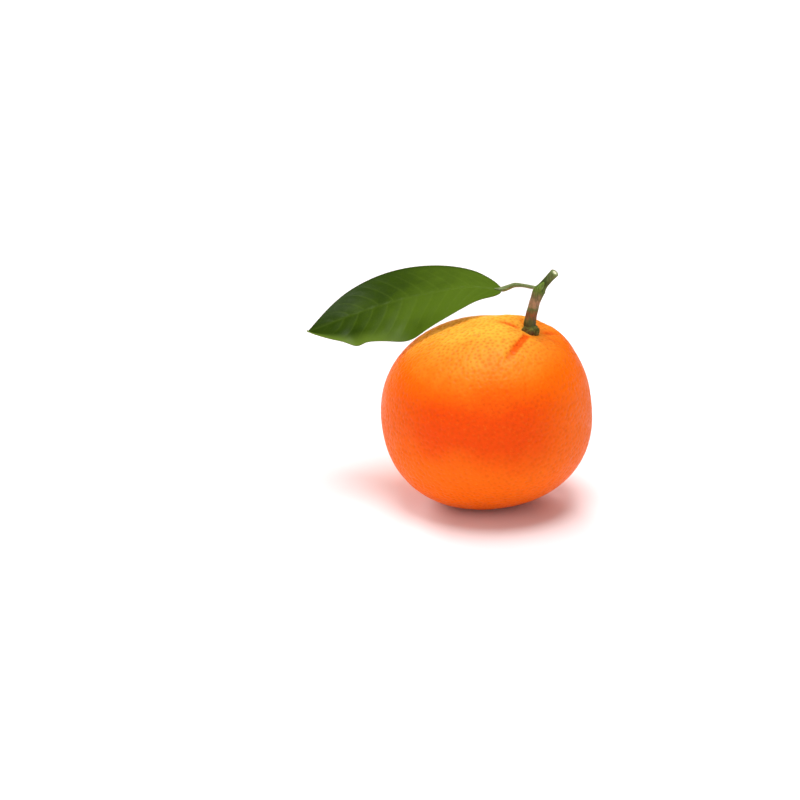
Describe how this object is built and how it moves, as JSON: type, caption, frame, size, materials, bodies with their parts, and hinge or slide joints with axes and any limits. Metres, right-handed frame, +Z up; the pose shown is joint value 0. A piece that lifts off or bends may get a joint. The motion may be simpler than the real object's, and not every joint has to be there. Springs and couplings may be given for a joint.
{
  "type": "orange",
  "caption": "Whole fresh orange resting on a small flat spot, with pebbled peel, its green calyx, a cut piece of twig and a leaf on its stalk.",
  "frame": {"origin": "centre of the small flat spot that the fruit rests on, on the surface", "axes": "+Z up; -Y towards the front; the leaf reaches out along -X and the stem end leans towards +X"},
  "size_m": [0.1032, 0.0778, 0.0868],
  "materials": {
    "peel": "satin",
    "calyx": "matte",
    "bark": "matte",
    "leaf_stalk": "satin",
    "leaf": "satin"
  },
  "bodies": {
    "root": {"orange_fruit": "peel", "calyx": "calyx", "stem": "bark", "leaf_stalk": "leaf_stalk", "leaf_blade": "leaf"}
  },
  "joints": []
}
